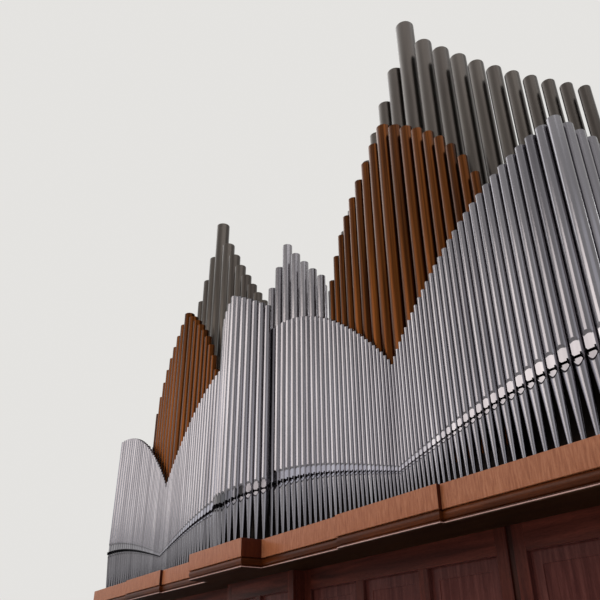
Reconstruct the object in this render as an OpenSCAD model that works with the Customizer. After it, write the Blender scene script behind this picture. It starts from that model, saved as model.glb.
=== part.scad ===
// Pipe organ with an open front: graded metal pipes in waves over a panelled timber base.
// Millimetres, Z up. The front faces -Y. The origin is on the floor, in the middle of the width
// and of the depth. Heights are taken from the floor. The right half is mirrored to the left.

/* [Base] */
// Half of the base wall's width
base_half = 3990; // [3800:10:4050]
// Depth of the base, from its front wall to its back wall
base_depth = 700; // [640:10:800]
// Height of the base walls, up to the underside of the platform's joists
base_h = 2440; // [2200:10:2600]
// Half of the width of the middle part of the front wall, which stands forward
mid_half = 640; // [560:10:700]
// How far the middle part stands forward
mid_step = 120; // [60:5:150]
// Thickness of the stiles and rails
frame_t = 35; // [25:1:45]
// Width of the stiles
stile_w = 95; // [70:1:120]
// Height of the top rail
top_rail_h = 175; // [120:1:220]
// Height of the bottom rail, from the floor
bottom_rail_h = 290; // [220:5:360]
// Height of the rail between the lower and the upper panels
lock_rail_h = 110; // [80:1:160]
// Height of the middle of that rail above the floor
lock_rail_z = 960; // [800:10:1100]
// Width of the recessed strip between the wide and the end part of the front wall
strip_w = 50; // [30:1:80]
// Distance of that strip from the middle
strip_x = 3026; // [2900:2:3100]
// How far that strip lies back from the stiles
strip_back = 12; // [5:1:20]
// Width of the bevel round a raised panel
bevel_w = 70; // [50:1:100]
// Height of the plinth board
plinth_h = 130; // [80:1:180]
// Thickness of the plinth board
plinth_t = 18; // [12:1:25]

/* [Platform] */
// Half of the platform's width
platform_half = 4270; // [4240:5:4400]
// Distance from the front wall of the base to the front of the platform
overhang = 400; // [350:5:450]
// Half of the width of the block under the middle tower
tower_half = 554; // [540:2:600]
// How far that block stands forward
tower_step = 205; // [190:1:260]
// Half of the width of the stretch that stands forward under each low point of the wave
bay_half = 566; // [450:2:600]
// How far that stretch stands forward
bay_step = 31; // [15:1:45]
// Height of the fascia board
fascia_h = 158; // [120:1:180]
// Thickness of the fascia board
fascia_t = 32; // [24:1:40]
// How far the fascia board stands above the deck
fascia_up = 76; // [50:1:90]
// Height of the joists
joist_h = 130; // [110:1:160]
// Width of a joist
joist_w = 60; // [40:1:80]
// Number of joists on each side of the middle one
joists = 7; // [5:1:9]
// Thickness of the deck
deck_t = 30; // [22:1:40]
// Thickness of the soffit board, whose front edge shows as a fillet
soffit_t = 12; // [8:1:18]
// How far the soffit's edge lies behind the face of the fascia
soffit_in = 8; // [4:1:14]
// Thickness of the board behind the moulding
rim_t = 28; // [20:1:35]

/* [Front pipes] */
// Diameter of the widest front pipe
flat_big = 96; // [80:1:98]
// Diameter of the narrowest front pipe, at the low point of the wave
flat_small = 30; // [24:1:34]
// Distance of the low point of the wave from the middle
valley_x = 2310; // [2280:5:2340]
// Distance of the first pipe beside the tower from the middle
flat_start = 488; // [484:1:500]
// Distance of the corner pipe from the middle
corner_x = 4170; // [4160:1:4180]
// Number of steps from the first pipe to the low point
inner_steps = 28; // [24:1:28]
// Number of steps from the low point to the corner pipe
outer_steps = 29; // [25:1:29]
// Distance from the front of the platform to the backs of the front pipes
flat_back = 190; // [180:1:200]
// Height of the pipe tops at the low point
valley_top = 3760; // [3600:10:3900]
// Rise of the pipe tops from the low point to the ends of the wave
wave_rise = 1080; // [900:10:1200]
// Bend of the wave: 1 is a plain sine, less is steeper at the low point
wave_bend = 0.88; // [0.7:0.01:1]
// Height of the mouths at the low point
valley_mouth = 2906; // [2880:2:2960]
// Rise of the mouths from the low point to the ends of the wave
mouth_rise = 268; // [200:2:300]
// Number of pipes on each side return, behind the corner pipe
side_pipes = 4; // [3:1:4]
// Free space between the pipes of a side return
side_gap = 30; // [20:1:30]

/* [Middle tower] */
// Pipes on each side of the tower's middle pipe
tower_side = 6; // [4:1:6]
// Diameter of the tower's middle pipe
tower_big = 96; // [80:1:97]
// Diameter of the tower's last pipe on each side
tower_small = 76; // [60:1:80]
// Free space between the tower's pipes
tower_gap = 4; // [3:0.5:5]
// Radius of the tower's bowed plan, at the backs of the pipes
tower_bow = 955; // [940:5:980]
// Distance of the backs of the middle pipes behind the platform's front
tower_back = -52; // [-60:2:-40]
// Height of the tower's middle pipe
tower_top = 5400; // [5200:10:5600]
// Fall of the tops from the middle pipe to the last one
tower_fall = 310; // [200:10:400]
// Height of the middle mouth
tower_mouth = 3062; // [3000:2:3100]
// Rise of the mouths from the middle pipe to the last one
tower_mouth_rise = 72; // [20:2:100]

/* [Copper pipes] */
// Pipes on each side of the tallest one of a group
copper_side = 8; // [6:1:8]
// Diameter of the tallest copper pipe
copper_big = 146; // [120:1:150]
// Diameter of the last copper pipe on each side
copper_small = 78; // [60:1:90]
// Free space between copper pipes
copper_gap = 15; // [8:1:16]
// Distance from the front of the platform to the backs of the copper pipes
copper_back = 374; // [370:1:385]
// Height of the tallest copper pipe
copper_top = 6330; // [6200:10:6600]
// Fall from one copper pipe to the next
copper_step = 122; // [100:2:150]
// Extra fall of the last copper pipe, which rounds the shoulders of the group
copper_shoulder = 276; // [100:2:400]
// Height of the copper pipes' mouths
copper_mouth = 3440; // [3350:10:3500]

/* [Tall pipes] */
// Pipes on the inner side of the tallest one
tall_inner = 7; // [5:1:7]
// Pipes on the outer side of the tallest one
tall_outer = 10; // [8:1:10]
// Diameter of the tallest pipe
tall_big = 206; // [190:1:208]
// Each next pipe's diameter as a share of its neighbour's
tall_taper = 0.925; // [0.9:0.001:0.93]
// Free space between the tall pipes
tall_gap = 34; // [28:1:36]
// Distance from the front of the platform to the backs of the tall pipes
tall_back = 865; // [855:1:880]
// Height of the tallest pipe
tall_peak = 8110; // [7900:10:8300]
// Height of the pipes beside it
tall_shoulder = 7590; // [7400:10:7700]
// Each next pipe's body length as a share of its neighbour's
tall_ratio = 0.905; // [0.88:0.005:0.92]
// Height of the tall pipes' mouths
tall_mouth = 4200; // [4000:10:4250]

/* [Middle back pipes] */
// Pipes on each side of the tallest one
centre_side = 4; // [3:1:4]
// Diameter of the tallest one
centre_big = 120; // [100:1:125]
// Each next pipe's diameter as a share of its neighbour's
centre_taper = 0.94; // [0.92:0.005:0.95]
// Free space between these pipes
centre_gap = 72; // [60:1:74]
// Distance from the front of the platform to the backs of these pipes
centre_back = 659; // [650:1:665]
// Free space between their rail and the second row, whose pipes are one step shorter
centre_row_gap = 4; // [2:1:10]
// Height of the tallest one
centre_top = 6350; // [6200:10:6600]
// Each next pipe's body length as a share of its neighbour's
centre_ratio = 0.9; // [0.88:0.005:0.93]
// Height of these pipes' mouths
centre_mouth = 4000; // [3900:10:4100]

/* [Pipe making] */
// Wall of a pipe
wall = 3; // [2:0.5:4]
// Thickness of the plate that closes the foot under the mouth
languid_t = 4; // [3:0.5:6]
// Half angle of the flattened front, seen from the pipe's axis
lip_angle = 46; // [38:1:50]
// Height of the mouth's slot as a share of the pipe's diameter
cut_up = 0.17; // [0.12:0.01:0.25]
// Height of the flattened upper lip as a share of the pipe's diameter
upper_lip = 1.25; // [1:0.05:1.5]
// Height of the lower lip as a share of the pipe's diameter
lower_lip = 0.5; // [0.4:0.05:0.7]
// Diameter of the tip of the foot as a share of the pipe's diameter
tip_share = 0.25; // [0.2:0.01:0.35]
// How far the ears stand out as a share of the pipe's diameter
ear_out = 0.1; // [0.06:0.01:0.14]
// Thickness of an ear
ear_t = 2; // [1.5:0.5:3]

/* [Chests and rails] */
// Thickness of the toe boards of the front pipes
toe_t = 40; // [30:1:50]
// Width of the toe boards
toe_w = 84; // [70:1:86]
// Height of the chests under the copper pipes
copper_chest_h = 260; // [200:5:300]
// Height of the chests under the tall pipes
tall_chest_h = 360; // [300:5:400]
// Depth of these chests
tall_chest_w = 150; // [140:5:155]
// Height of the chest under the middle back pipes
centre_chest_h = 360; // [300:5:400]
// Margin of a chest past its last pipe
chest_margin = 12; // [8:1:16]
// Free space between the rail of the front row and the copper chests
chest_gap = 8; // [4:1:12]
// Height of the dark board behind the feet of the front pipes
screen_h = 640; // [500:10:700]
// Thickness of that board
screen_t = 18; // [12:1:24]
// Thickness of the rails behind the pipes
rail_t = 25; // [18:1:28]
// Height of the rails
rail_h = 80; // [60:1:100]
// Width of the uprights that carry the rails
post_w = 45; // [30:1:60]
// Height of the rail behind the copper pipes above their mouths
copper_rail_up = 180; // [150:5:250]
// Height of the rails behind the tall pipes above their mouths
tall_rail_up = 800; // [600:10:900]
// Height of the rail behind the middle back pipes above their mouths
centre_rail_up = 600; // [500:10:700]

/* [Hidden] */
$fn = 32;
// Clearance of a fitted joint, and between a pipe's back and its rail
fit = 0.3;
// Reach of a cutting tool past what it cuts
past = 1;

// Lines that the pieces share: y is 0 at the platform's front
base_front = overhang;
base_back = overhang + base_depth;
origin_y = (base_back + plinth_t - tower_step) / 2;
fascia_z = base_h + joist_h + deck_t + fascia_up - fascia_h;
deck_z = base_h + joist_h + deck_t;
toe_z = deck_z + toe_t;
bay_near = valley_x - bay_half;
bay_far = valley_x + bay_half;

// The platform's front line, from the back of its left side round to the back of its right side
platform_line = concat(
    [[-platform_half, base_back], [-platform_half, 0], [-bay_far, 0], [-bay_far, -bay_step]],
    [[-bay_near, -bay_step], [-bay_near, 0], [-tower_half, 0], [-tower_half, -tower_step]],
    [[tower_half, -tower_step], [tower_half, 0], [bay_near, 0], [bay_near, -bay_step]],
    [[bay_far, -bay_step], [bay_far, 0], [platform_half, 0], [platform_half, base_back]]
);
// The foot of the base walls, all the way round
base_line = [
    [-base_half, base_back], [-base_half, base_front], [-mid_half, base_front],
    [-mid_half, base_front - mid_step], [mid_half, base_front - mid_step], [mid_half, base_front],
    [base_half, base_front], [base_half, base_back]
];

// Sum of a list
function total(v, i = 0) = i < len(v) ? v[i] + total(v, i + 1) : 0;
// Running sums of a list, from 0
function running(v, i = 0, s = 0) = i < len(v) ? concat([s], running(v, i + 1, s + v[i])) : [s];
// Diameters that change by the same share at each of n steps
function graded(first, last, n) = [for (i = [0:n]) first * pow(last / first, i / n)];
// Half the sum of each two neighbours
function pitches(d, gap) = [for (i = [1:len(d) - 1]) (d[i - 1] + d[i]) / 2 + gap];
// The gap with which pipes of these diameters fill a span from axis to axis
function fill_gap(d, span) = (span - total(pitches(d, 0))) / (len(d) - 1);

// Unit vector from a to b, and the outward side of a line walked with the outside on its right
function along(a, b) = (b - a) / norm(b - a);
function outward(a, b) = let (d = along(a, b)) [d.y, -d.x];
// Corner of a line moved outward by w, between two edges with these outward sides
function corner(p, n1, n2, w) = p + w * (n1 + n2) / (1 + n1 * n2);
// A line moved outward by w. A closed line joins its last point to its first
function moved(line, w, closed = false) = [
    for (i = [0:len(line) - 1])
        let (
            n = len(line),
            ahead = closed || i < n - 1,
            behind = closed || i > 0,
            after = ahead ? outward(line[i], line[(i + 1) % n]) : outward(line[i - 1], line[i]),
            before = behind ? outward(line[(i + n - 1) % n], line[i]) : after
        )
        corner(line[i], before, after, w)
];

// Share of the wave's rise at a distance t from the low point, 0 to 1, with a bend
function wave(t, bend) = sin(90 * pow(t, bend));
// Distance of x from the low point as a share of its side of the wave
function from_valley(x) = x < valley_x
    ? (valley_x - x) / (valley_x - flat_start)
    : (x - valley_x) / (corner_x - valley_x);
function flat_top(x) = valley_top + wave_rise * wave(min(1, from_valley(x)), wave_bend);
function flat_mouth(x) = valley_mouth + mouth_rise * wave(min(1, from_valley(x)), 1);

// Front pipes from the tower to the low point, and on to the corner
inner_d = graded(flat_big, flat_small, inner_steps);
outer_d = graded(flat_small, flat_big, outer_steps);
inner_gap = fill_gap(inner_d, valley_x - flat_start);
outer_gap = fill_gap(outer_d, corner_x - valley_x);
inner_x = [for (s = running(pitches(inner_d, inner_gap))) flat_start + s];
outer_x = [for (s = running(pitches(outer_d, outer_gap))) valley_x + s];
corner_y = flat_back - flat_big / 2;
side_pitch = flat_big + side_gap;
// Ends of the boards and rails beside the first pipe, inside its outline
row_start = flat_start - 0.4 * flat_big;

// Half of each symmetric group, from its tallest pipe outward
tower_d = graded(tower_big, tower_small, tower_side);
copper_d = graded(copper_big, copper_small, copper_side);
copper_x = running(pitches(copper_d, copper_gap));
tall_d = [for (k = [0:max(tall_inner, tall_outer)]) tall_big * pow(tall_taper, k)];
tall_x = running(pitches(tall_d, tall_gap));
centre_d = [for (k = [0:centre_side + 1]) centre_big * pow(centre_taper, k)];
centre_x = running(pitches(centre_d, centre_gap));
centre_second = centre_back + fit + rail_t + centre_row_gap + centre_d[1];
function copper_height(k) = copper_top - copper_step * k - copper_shoulder * pow(k / copper_side, 4);
function tall_height(k) = k == 0
    ? tall_peak
    : tall_mouth + (tall_shoulder - tall_mouth) * pow(tall_ratio, k - 1);
function centre_height(k) = centre_mouth + (centre_top - centre_mouth) * pow(centre_ratio, k);

// Angles of the tower's pipes on its bow, with each pair of neighbours a pitch apart
tower_turns = [
    for (s = running(pitches(tower_d, tower_gap))) s / (tower_bow + tower_big / 2) * 180 / PI
];
tower_axis_y = tower_back + tower_bow;

// Side view of what is cut away in front of a pipe's lips: the flat of the upper lip, and below
// the mouth the slanting flat of the lower lip, from the pipe's axis at y = 0
function lips_cut(r, flat_y, low, top) = let (slope = low / (r - flat_y)) [
    [-flat_y, top], [-flat_y, 0], [-r - past, -slope * (r + past - flat_y)], [-r - past, top]
];

// One flue pipe on its tip, facing -Y: foot, mouth with flattened lips and ears, open body
module pipe(d, tip_z, mouth_z, top_z) {
    r = d / 2;
    foot = mouth_z - tip_z;
    body = top_z - mouth_z;
    flat_y = r * cos(lip_angle);
    half_w = r * sin(lip_angle);
    lip_z = cut_up * d;
    lip_top = lip_z + upper_lip * d;
    translate([0, 0, mouth_z]) {
        difference() {
            union() {
                translate([0, 0, -foot])
                    cylinder(h = foot, d1 = tip_share * d, d2 = d);
                cylinder(h = body, d = d);
            }
            // The bore, full above the upper lip and behind the flat below its top
            translate([0, 0, lip_top + wall])
                cylinder(h = body, d = d - 2 * wall);
            intersection() {
                translate([0, 0, languid_t])
                    cylinder(h = lip_top + 2 * wall, d = d - 2 * wall);
                translate([-r, wall - flat_y, 0])
                    cube([d, d, lip_top + wall + past]);
            }
            rotate([90, 0, 90])
                translate([0, 0, -r - past])
                    linear_extrude(d + 2 * past)
                        polygon(lips_cut(r, flat_y, lower_lip * d, lip_top));
            // The mouth's slot
            translate([-half_w, -r, languid_t])
                cube([2 * half_w, r - flat_y + wall + past, lip_z - languid_t]);
        }
        // The ears on both sides of the mouth
        for (side = [-1, 1])
            translate([side * half_w - ear_t / 2, -flat_y - ear_out * d, -0.25 * d])
                cube([ear_t, ear_out * d + wall, 0.25 * d + 3 * lip_z]);
    }
}

// A line of pipes whose backs touch the plane y = back. pipes holds [x, diameter, mouth, top]
module row(pipes, back, tip_z) {
    for (p = pipes)
        translate([p[0], back - p[1] / 2, 0])
            pipe(p[1], tip_z, p[2], p[3]);
}

// Straight boards along a line, mitred at its corners, from in to out and from z0 to z1
module boards(line, inner, outer, z0, z1, first = 0, last = -1, closed = false) {
    n = len(line);
    edges = closed ? n : n - 1;
    a_in = moved(line, inner, closed);
    a_out = moved(line, outer, closed);
    for (i = [first:last < 0 ? edges - 1 : last]) {
        j = (i + 1) % n;
        d = along(line[i], line[j]) * fit / 2;
        translate([0, 0, z0])
            linear_extrude(z1 - z0)
                polygon([a_in[i] + d, a_in[j] - d, a_out[j] - d, a_out[i] + d]);
    }
}

// A stile-and-rail frame in the XZ plane, its front on y = 0, with columns of two openings
module frame(w, columns) {
    opening_w = (w - (columns + 1) * stile_w) / columns;
    rotate([90, 0, 0])
        translate([0, 0, -frame_t])
            linear_extrude(frame_t)
                difference() {
                    square([w, base_h]);
                    for (c = [0:columns - 1])
                        for (o = openings_z())
                            translate([stile_w + c * (opening_w + stile_w), o[0]])
                                square([opening_w, o[1] - o[0]]);
                }
}

// Lower and upper ends of the two openings above each other in a frame
function openings_z() = [
    [bottom_rail_h, lock_rail_z - lock_rail_h / 2],
    [lock_rail_z + lock_rail_h / 2, base_h - top_rail_h]
];

// Section of a raised panel of width w: thin edges, bevels and a raised field
function panel_section(w) = let (h = w / 2, edge = 9, rise = 19, field = 23, back = 30) [
    [-h, back], [h, back], [h, back - edge], [h - bevel_w, back - rise], [h - bevel_w, back - field],
    [bevel_w - h, back - field], [bevel_w - h, back - rise], [-h, back - edge]
];

// One raised panel, its lower left corner at the origin
module panel(w, h) {
    intersection() {
        translate([w / 2, 0, 0])
            linear_extrude(h)
                polygon(panel_section(w));
        translate([w, 0, h / 2])
            rotate([0, -90, 0])
                linear_extrude(w)
                    polygon(panel_section(h));
    }
}

// The panels that fill a frame of the same width
module panels(w, columns) {
    opening_w = (w - (columns + 1) * stile_w) / columns;
    for (c = [0:columns - 1])
        for (o = openings_z())
            translate([stile_w + c * (opening_w + stile_w) + fit, 0, o[0] + fit])
                panel(opening_w - 2 * fit, o[1] - o[0] - 2 * fit);
}

// Widths and places of the parts of the front wall
wide_w = strip_x - strip_w / 2 - mid_half;
end_x = strip_x + strip_w / 2;
end_w = base_half - end_x;
side_w = base_depth - 2 * frame_t;

// Moves a piece so that the middle of the whole depth is at y = 0
module placed() {
    translate([0, -origin_y, 0])
        children();
}

module mirrored() {
    children();
    mirror([1, 0, 0])
        children();
}

module plinth() {
    color("#3a211a")
        boards(base_line, 0, plinth_t, 0, plinth_h, closed = true);
}

module front_frame_middle() {
    color("#4a2a20") {
        translate([-mid_half, base_front - mid_step, 0])
            frame(2 * mid_half, 2);
        mirrored()
            translate([mid_half - frame_t, base_front - mid_step + frame_t + fit, 0])
                cube([frame_t, mid_step - fit, base_h]);
    }
}

module wide_frame() {
    color("#4a2a20")
        translate([mid_half, base_front, 0])
            frame(wide_w, 3);
}

module front_frame_right() {
    wide_frame();
}

module front_frame_left() {
    mirror([1, 0, 0])
        wide_frame();
}

module end_frame() {
    color("#4a2a20")
        translate([end_x, base_front, 0])
            frame(end_w, 1);
}

module front_frame_right_end() {
    end_frame();
}

module front_frame_left_end() {
    mirror([1, 0, 0])
        end_frame();
}

module front_strips() {
    color("#2c1812")
        mirrored()
            translate([strip_x - strip_w / 2, base_front + strip_back, 0])
                cube([strip_w, frame_t - strip_back, base_h]);
}

module front_panels() {
    color("#55303a") {
        translate([-mid_half, base_front - mid_step, 0])
            panels(2 * mid_half, 2);
        mirrored() {
            translate([mid_half, base_front, 0])
                panels(wide_w, 3);
            translate([end_x, base_front, 0])
                panels(end_w, 1);
        }
    }
}

module on_right_side() {
    translate([base_half, base_front + frame_t, 0])
        rotate([0, 0, 90])
            children();
}

module side_frame_right() {
    color("#4a2a20")
        on_right_side()
            frame(side_w, 1);
}

module side_frame_left() {
    color("#4a2a20")
        mirror([1, 0, 0])
            on_right_side()
                frame(side_w, 1);
}

module side_panels() {
    color("#55303a")
        mirrored()
            on_right_side()
                panels(side_w, 1);
}

module on_back() {
    translate([base_half, base_back, 0])
        rotate([0, 0, 180])
            children();
}

module back_frame() {
    color("#4a2a20")
        on_back()
            frame(2 * base_half, 10);
}

module back_panels() {
    color("#55303a")
        on_back()
            panels(2 * base_half, 10);
}

// Boards under the overhang, outside the base walls
module soffit() {
    line = moved(platform_line, -soffit_in);
    color("#2a1710")
        translate([0, 0, base_h - soffit_t])
            linear_extrude(soffit_t)
                difference() {
                    polygon(line);
                    polygon(concat(moved(base_line, fit), [[0, base_back + past]]));
                    for (x = [-1, 1])
                        translate([x * base_half - fit / 2, -tower_step])
                            square([fit, base_front + tower_step + past]);
                }
}

// Joists from the front rim to the back rim, on top of the base walls
module joists_row() {
    spacing = (base_half - joist_w) / joists;
    color("#6b4630")
        for (k = [-joists:joists]) {
            x = k * spacing;
            reach = abs(x) + joist_w / 2 < tower_half - fascia_t - rim_t ? tower_step : 0;
            front = fascia_t + rim_t - reach;
            translate([x - joist_w / 2, front, base_h])
                cube([joist_w, base_back - rim_t - front, joist_h]);
        }
}

module rim_boards() {
    color("#4a2a20") {
        boards(platform_line, -fascia_t - rim_t, -fascia_t, base_h, base_h + joist_h);
        translate([-platform_half + fascia_t + rim_t + fit, base_back - rim_t, base_h])
            cube([2 * (platform_half - fascia_t - rim_t - fit), rim_t, joist_h]);
    }
}

module deck() {
    color("#6b4630")
        translate([0, 0, base_h + joist_h])
            linear_extrude(deck_t)
                polygon(moved(platform_line, -fascia_t));
}

// Section of the moulding under the fascia: a foot, a quirk and a wide bead up to the fascia
function bead(h) = let (face = 27, depth = 20, foot = 10, quirk = 4, tall = (h - foot - quirk) / 2) concat(
    [[0, 0], [face - depth + 6, 0], [face - depth + 6, foot], [face - depth, foot + quirk]],
    [for (a = [-75:15:75]) [face - depth + depth * cos(a), foot + quirk + tall * (1 + sin(a))]],
    [[face - depth, h], [0, h]]
);

// A moulding along a line, mitred at the corners, its back on the line
module moulding(line, section) {
    far = 60;
    inside = moved(line, -far);
    outside = moved(line, far);
    for (i = [0:len(line) - 2]) {
        d = along(line[i], line[i + 1]);
        n = outward(line[i], line[i + 1]);
        run = norm(line[i + 1] - line[i]);
        g = d * fit / 2;
        intersection() {
            translate([line[i].x, line[i].y, 0])
                rotate([0, 0, atan2(n.y, n.x)])
                    translate([0, run + far, 0])
                        rotate([90, 0, 0])
                            linear_extrude(run + 2 * far)
                                polygon(section);
            linear_extrude(fascia_h)
                polygon([inside[i] + g, inside[i + 1] - g, outside[i + 1] - g, outside[i] + g]);
        }
    }
}

module bead_moulding() {
    color("#5a3018")
        translate([0, 0, base_h])
            moulding(moved(platform_line, -fascia_t), bead(fascia_z - base_h));
}

module fascia_boards() {
    color("#a8603c") {
        boards(platform_line, -fascia_t, 0, fascia_z, fascia_z + fascia_h, 0, 5);
        boards(platform_line, -fascia_t, 0, fascia_z, fascia_z + fascia_h, 9, 14);
    }
}

module fascia_tower() {
    color("#b5673c")
        boards(platform_line, -fascia_t, 0, fascia_z, fascia_z + fascia_h, 6, 8);
}

// Boards that the feet of the front pipes and the side pipes stand on
module toe_boards() {
    toe_back = flat_back - 4;
    side_end = corner_y + side_pipes * side_pitch + toe_w / 2;
    color("#3b2a22")
        mirrored() {
            translate([row_start, toe_back - toe_w, deck_z])
                cube([corner_x + toe_w / 2 - row_start, toe_w, toe_t]);
            translate([corner_x - toe_w / 2, toe_back + fit, deck_z])
                cube([toe_w, side_end - toe_back - fit, toe_t]);
        }
}

// A band of the bow between two radii, within a half angle
module bow_band(r0, r1, half_angle, z0, z1) {
    translate([0, tower_axis_y, z0])
        intersection() {
            difference() {
                cylinder(h = z1 - z0, r = r1, $fn = 256);
                translate([0, 0, -past])
                    cylinder(h = z1 - z0 + 2 * past, r = r0, $fn = 256);
            }
            linear_extrude(z1 - z0)
                polygon([
                    [0, 0],
                    2 * r1 * [-sin(half_angle), -cos(half_angle)],
                    2 * r1 * [sin(half_angle), -cos(half_angle)]
                ]);
        }
}

module tower_toe_board() {
    middle = tower_bow + tower_big / 2;
    half = tower_half - fascia_t - fit;
    color("#3b2a22")
        intersection() {
            bow_band(middle - toe_w / 2, middle + toe_w / 2, 45, deck_z, toe_z);
            translate([-half, -tower_step, deck_z - past])
                cube([2 * half, flat_back + tower_step, toe_t + 2 * past]);
        }
}

module copper_chests() {
    half = copper_x[copper_side] + copper_small / 2 + chest_margin;
    front = flat_back + fit + rail_t + chest_gap;
    color("#3b2a22")
        mirrored()
            translate([valley_x - half, front, deck_z])
                cube([2 * half, copper_back - front, copper_chest_h]);
}

module tall_chests() {
    first = valley_x - tall_x[tall_inner] - tall_d[tall_inner] / 2;
    last = valley_x + tall_x[tall_outer] + tall_d[tall_outer] / 2;
    color("#3b2a22")
        mirrored()
            translate([first, tall_back - tall_chest_w, deck_z])
                cube([last - first, tall_chest_w, tall_chest_h]);
}

module centre_chest() {
    half = centre_x[centre_side] + centre_d[centre_side] / 2 + chest_margin;
    color("#3b2a22")
        translate([-half, centre_back - centre_big, deck_z])
            cube([2 * half, centre_second + centre_big - centre_back, centre_chest_h]);
}

// A board across the deck that closes off the view between the feet, behind the copper rails
module foot_screen() {
    half = corner_x - flat_big / 2 - rail_t - 2 * fit;
    color("#241a14")
        translate([-half, copper_back + rail_t + 2 * fit, deck_z])
            cube([2 * half, screen_t, screen_h]);
}

// The rail behind the front pipes, which follows their mouths, on uprights
module wave_rail() {
    xs = concat([row_start], [for (x = inner_x) x], [for (i = [1:outer_steps - 1]) outer_x[i]]);
    top = [for (x = xs) [x, flat_mouth(x) + rail_h / 2]];
    under = [for (i = [len(xs) - 1:-1:0]) [xs[i], flat_mouth(xs[i]) - rail_h / 2]];
    step = (outer_x[outer_steps - 1] - flat_start - post_w) / 5;
    color("#2b2320") {
        translate([0, flat_back + fit + rail_t, 0])
            rotate([90, 0, 0])
                linear_extrude(rail_t)
                    polygon(concat(top, under));
        for (x = [flat_start:step:corner_x])
            translate([x, flat_back + fit, deck_z])
                cube([post_w, rail_t, flat_mouth(x + post_w / 2) - deck_z]);
    }
}

module rail_right() {
    wave_rail();
}

module rail_left() {
    mirror([1, 0, 0])
        wave_rail();
}

module rail_tower() {
    z = tower_mouth + tower_mouth_rise / 2;
    outer = tower_bow - fit;
    color("#2b2320") {
        bow_band(outer - rail_t, outer, tower_turns[tower_side] - 3, z - rail_h / 2, z + rail_h / 2);
        for (a = [-1, 0, 1])
            translate([0, tower_axis_y, deck_z])
                rotate([0, 0, a * tower_turns[tower_side - 2]])
                    translate([-post_w / 2, -outer + 3, 0])
                        cube([post_w, rail_t - 3, z - deck_z]);
    }
}

// A straight rail on uprights, from x0 to x1, its front on y, standing on z0
module straight_rail(x0, x1, y, z0, z, posts) {
    translate([x0, y, z - rail_h / 2])
        cube([x1 - x0, rail_t, rail_h]);
    for (k = [0:posts - 1])
        translate([x0 + k * (x1 - x0 - post_w) / (posts - 1), y, z0])
            cube([post_w, rail_t, z - z0]);
}

module side_rails() {
    start = corner_y + side_pitch / 2;
    z = valley_mouth + mouth_rise;
    color("#2b2320")
        mirrored()
            translate([corner_x - flat_big / 2 - fit, start, 0])
                rotate([0, 0, 90])
                    straight_rail(0, (side_pipes - 0.1) * side_pitch, 0, deck_z, z, 3);
}

module copper_rails() {
    half = copper_x[copper_side] + copper_small / 2;
    color("#2b2320")
        mirrored()
            straight_rail(valley_x - half, valley_x + half, copper_back + fit, deck_z,
                copper_mouth + copper_rail_up, 4);
}

module tall_rails() {
    first = valley_x - tall_x[tall_inner] - tall_d[tall_inner] / 2;
    last = valley_x + tall_x[tall_outer] + tall_d[tall_outer] / 2;
    color("#2b2320")
        mirrored()
            straight_rail(first, last, tall_back + fit, deck_z, tall_mouth + tall_rail_up, 6);
}

module centre_rail() {
    half = centre_x[centre_side] + centre_d[centre_side] / 2;
    color("#2b2320")
        straight_rail(-half, half, centre_back + fit, deck_z + centre_chest_h,
            centre_mouth + centre_rail_up, 4);
}

module inner_flat() {
    color("#b9bcc4")
        row([for (i = [0:inner_steps]) [inner_x[i], inner_d[i], flat_mouth(inner_x[i]),
            flat_top(inner_x[i])]], flat_back, toe_z);
}

module outer_flat() {
    color("#b9bcc4")
        row([for (i = [1:outer_steps]) [outer_x[i], outer_d[i], flat_mouth(outer_x[i]),
            flat_top(outer_x[i])]], flat_back, toe_z);
}

module inner_flat_right() {
    inner_flat();
}

module inner_flat_left() {
    mirror([1, 0, 0])
        inner_flat();
}

module outer_flat_right() {
    outer_flat();
}

module outer_flat_left() {
    mirror([1, 0, 0])
        outer_flat();
}

module tower_pipes() {
    color("#b9bcc4")
        for (k = [-tower_side:tower_side]) {
            share = abs(k) / tower_side;
            turn = sign(k) * tower_turns[abs(k)];
            d = tower_d[abs(k)];
            translate([0, tower_axis_y, 0])
                rotate([0, 0, turn])
                    translate([0, -tower_bow - d / 2, 0])
                        pipe(d, toe_z, tower_mouth + tower_mouth_rise * share,
                            tower_top - tower_fall * share);
        }
}

module side_row() {
    color("#aab0bb")
        for (k = [1:side_pipes])
            translate([corner_x, corner_y + k * side_pitch, 0])
                rotate([0, 0, 90])
                    pipe(flat_big, toe_z, valley_mouth + mouth_rise, valley_top + wave_rise);
}

module side_pipes_right() {
    side_row();
}

module side_pipes_left() {
    mirror([1, 0, 0])
        side_row();
}

module copper_group() {
    color("#8a4a22")
        row([for (k = [-copper_side:copper_side]) [valley_x + sign(k) * copper_x[abs(k)],
            copper_d[abs(k)], copper_mouth, copper_height(abs(k))]],
            copper_back, deck_z + copper_chest_h);
}

module copper_pipes_right() {
    copper_group();
}

module copper_pipes_left() {
    mirror([1, 0, 0])
        copper_group();
}

module tall_group() {
    color("#85837f")
        row([for (k = [-tall_inner:tall_outer]) [valley_x + sign(k) * tall_x[abs(k)], tall_d[abs(k)],
            tall_mouth, tall_height(abs(k))]], tall_back, deck_z + tall_chest_h);
}

module tall_pipes_right() {
    tall_group();
}

module tall_pipes_left() {
    mirror([1, 0, 0])
        tall_group();
}

module centre_pipes() {
    color("#85837f")
        for (second = [0, 1])
            row([for (k = [-centre_side:centre_side]) [sign(k) * centre_x[abs(k)],
                centre_d[abs(k) + second], centre_mouth, centre_height(abs(k) + second)]],
                second == 0 ? centre_back : centre_second, deck_z + centre_chest_h);
}

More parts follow.
